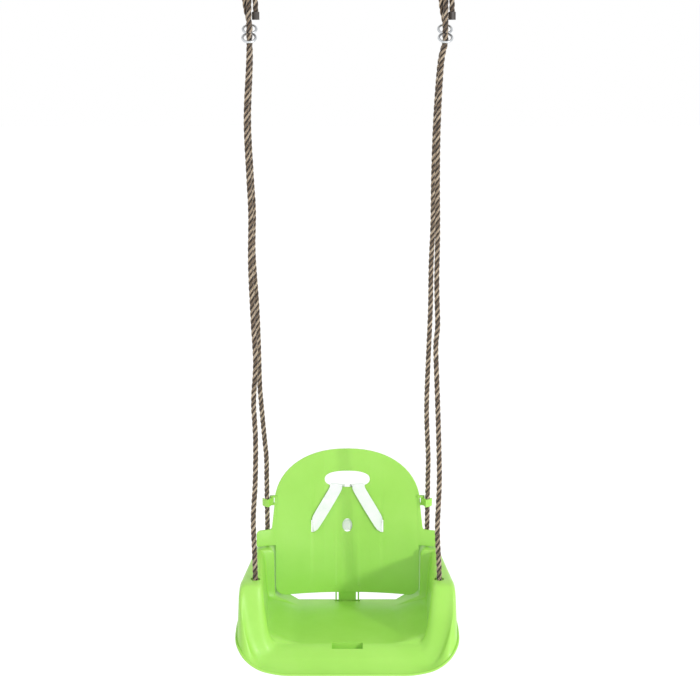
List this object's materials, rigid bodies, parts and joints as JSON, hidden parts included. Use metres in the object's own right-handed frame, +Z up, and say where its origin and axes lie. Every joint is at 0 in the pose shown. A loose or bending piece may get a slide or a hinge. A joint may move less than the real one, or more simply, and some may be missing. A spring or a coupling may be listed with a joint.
{
  "type": "toddler bucket swing",
  "caption": "Moulded toddler swing seat with arm rests and a clip-on reclined backrest with belt, hung on adjustable twisted ropes with steel eyes and hanging rings.",
  "frame": {"origin": "midway between the two hanging rings, at the middle of the ring wire that the rope thimbles turn on", "axes": "+Z up, +X to the seated child's left, which is the viewer's right from the front, and the child faces -Y"},
  "size_m": [0.418, 0.3249, 1.4012],
  "materials": {
    "green_plastic": "satin",
    "twisted_rope": "matte",
    "galvanised_steel": "satin",
    "white_webbing": "matte",
    "white_plastic": "satin",
    "dark_plastic": "satin"
  },
  "bodies": {
    "hanger": {"hang_ring_left": "galvanised_steel", "hang_ring_right": "galvanised_steel"},
    "seat": {"seat_shell": "green_plastic", "seat_rope_left": "twisted_rope", "seat_rope_right": "twisted_rope", "hanger_rope_left": "twisted_rope", "hanger_rope_right": "twisted_rope", "tail_rope_left": "twisted_rope", "tail_rope_right": "twisted_rope", "adjuster_left": "galvanised_steel", "adjuster_right": "galvanised_steel", "rope_sleeve_left": "galvanised_steel", "rope_sleeve_right": "galvanised_steel", "rope_end_cap_left": "dark_plastic", "rope_end_cap_right": "dark_plastic", "thimble_left": "galvanised_steel", "thimble_right": "galvanised_steel"},
    "backrest": {"backrest_panel": "green_plastic", "belt_webbing": "white_webbing", "buckle_socket": "white_plastic", "buckle_plug": "white_plastic", "clip_pin_left": "galvanised_steel", "clip_pin_right": "galvanised_steel"},
    "clip_left": {"rope_clip_left": "green_plastic"},
    "clip_right": {"rope_clip_right": "green_plastic"}
  },
  "joints": [
    {"name": "swing", "type": "hinge", "parent": "hanger", "child": "seat", "pos_m": [0, 0, 0], "axis": [1, 0, 0], "range_deg": [-45, 45]},
    {"name": "backrest_lift", "type": "slide", "parent": "seat", "child": "backrest", "axis": [0, -0.083, 0.9966], "range_m": [0, 0.055]},
    {"name": "clip_left", "type": "hinge", "parent": "backrest", "child": "clip_left", "pos_m": [-0.1504, 0.09216, -1.093], "axis": [0, -0.083, 0.9966], "range_deg": [0, 54]},
    {"name": "clip_right", "type": "hinge", "parent": "backrest", "child": "clip_right", "pos_m": [0.1504, 0.09216, -1.093], "axis": [0, 0.083, -0.9966], "range_deg": [0, 54]}
  ]
}
